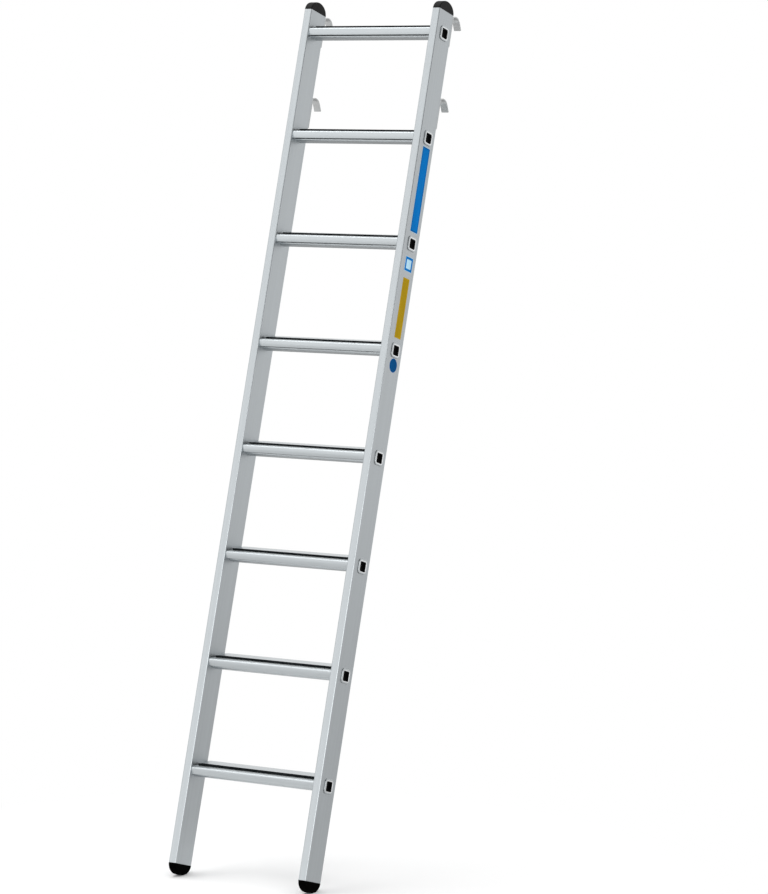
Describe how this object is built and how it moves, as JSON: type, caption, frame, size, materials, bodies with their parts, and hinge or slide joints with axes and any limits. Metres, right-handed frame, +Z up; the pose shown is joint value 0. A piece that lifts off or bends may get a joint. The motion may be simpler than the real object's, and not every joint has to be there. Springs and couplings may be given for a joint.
{
  "type": "shelf ladder",
  "caption": "Leaning shelf ladder of aluminium box profile with flat treads, black anti-slip strips, round end caps and rear strip hooks that hang on a round rail.",
  "frame": {"origin": "on the axis of the shelf rail that the upper hooks hang on, midway between the stiles", "axes": "+X along the treads to the right as seen by a person climbing, +Y rearward to the shelf, +Z up; the stiles lean 16.7 degrees to the rear and the treads are level"},
  "size_m": [0.4178, 0.761, 2.2196],
  "materials": {
    "stile_aluminium": "satin extruded aluminium, fine lines along the stile",
    "tread_aluminium": "satin extruded aluminium, fine lines along the tread",
    "strip_rubber": "ribbed black anti-slip strip",
    "cap_plastic": "moulded black plastic, fine grain",
    "plug_plastic": "glossy moulded black plastic",
    "hook_steel": "bent zinc-plated flat strip",
    "rivet_metal": "plain blind rivets",
    "label_blue": "plain blue sticker",
    "label_yellow": "plain yellow sticker",
    "label_pale": "plain pale sticker with a blue field"
  },
  "bodies": {
    "root": {"left_foot": "cap_plastic", "left_plug_1": "plug_plastic", "left_plug_2": "plug_plastic", "left_plug_3": "plug_plastic", "left_plug_4": "plug_plastic", "left_plug_5": "plug_plastic", "left_plug_6": "plug_plastic", "left_plug_7": "plug_plastic", "left_plug_8": "plug_plastic", "left_stile": "stile_aluminium", "left_top_cap": "cap_plastic", "long_label": "label_blue", "lower_left_hook": "hook_steel", "lower_left_hook_rivets": "rivet_metal", "lower_right_hook": "hook_steel", "lower_right_hook_rivets": "rivet_metal", "right_foot": "cap_plastic", "right_plug_1": "plug_plastic", "right_plug_2": "plug_plastic", "right_plug_3": "plug_plastic", "right_plug_4": "plug_plastic", "right_plug_5": "plug_plastic", "right_plug_6": "plug_plastic", "right_plug_7": "plug_plastic", "right_plug_8": "plug_plastic", "right_stile": "stile_aluminium", "right_top_cap": "cap_plastic", "round_label": "label_blue", "small_label": "label_pale", "tread_1": "tread_aluminium", "tread_2": "tread_aluminium", "tread_3": "tread_aluminium", "tread_4": "tread_aluminium", "tread_5": "tread_aluminium", "tread_6": "tread_aluminium", "tread_7": "tread_aluminium", "tread_8": "tread_aluminium", "tread_strip_1": "strip_rubber", "tread_strip_2": "strip_rubber", "tread_strip_3": "strip_rubber", "tread_strip_4": "strip_rubber", "tread_strip_5": "strip_rubber", "tread_strip_6": "strip_rubber", "tread_strip_7": "strip_rubber", "tread_strip_8": "strip_rubber", "upper_left_hook": "hook_steel", "upper_left_hook_rivets": "rivet_metal", "upper_right_hook": "hook_steel", "upper_right_hook_rivets": "rivet_metal", "wide_label": "label_yellow"}
  },
  "joints": []
}
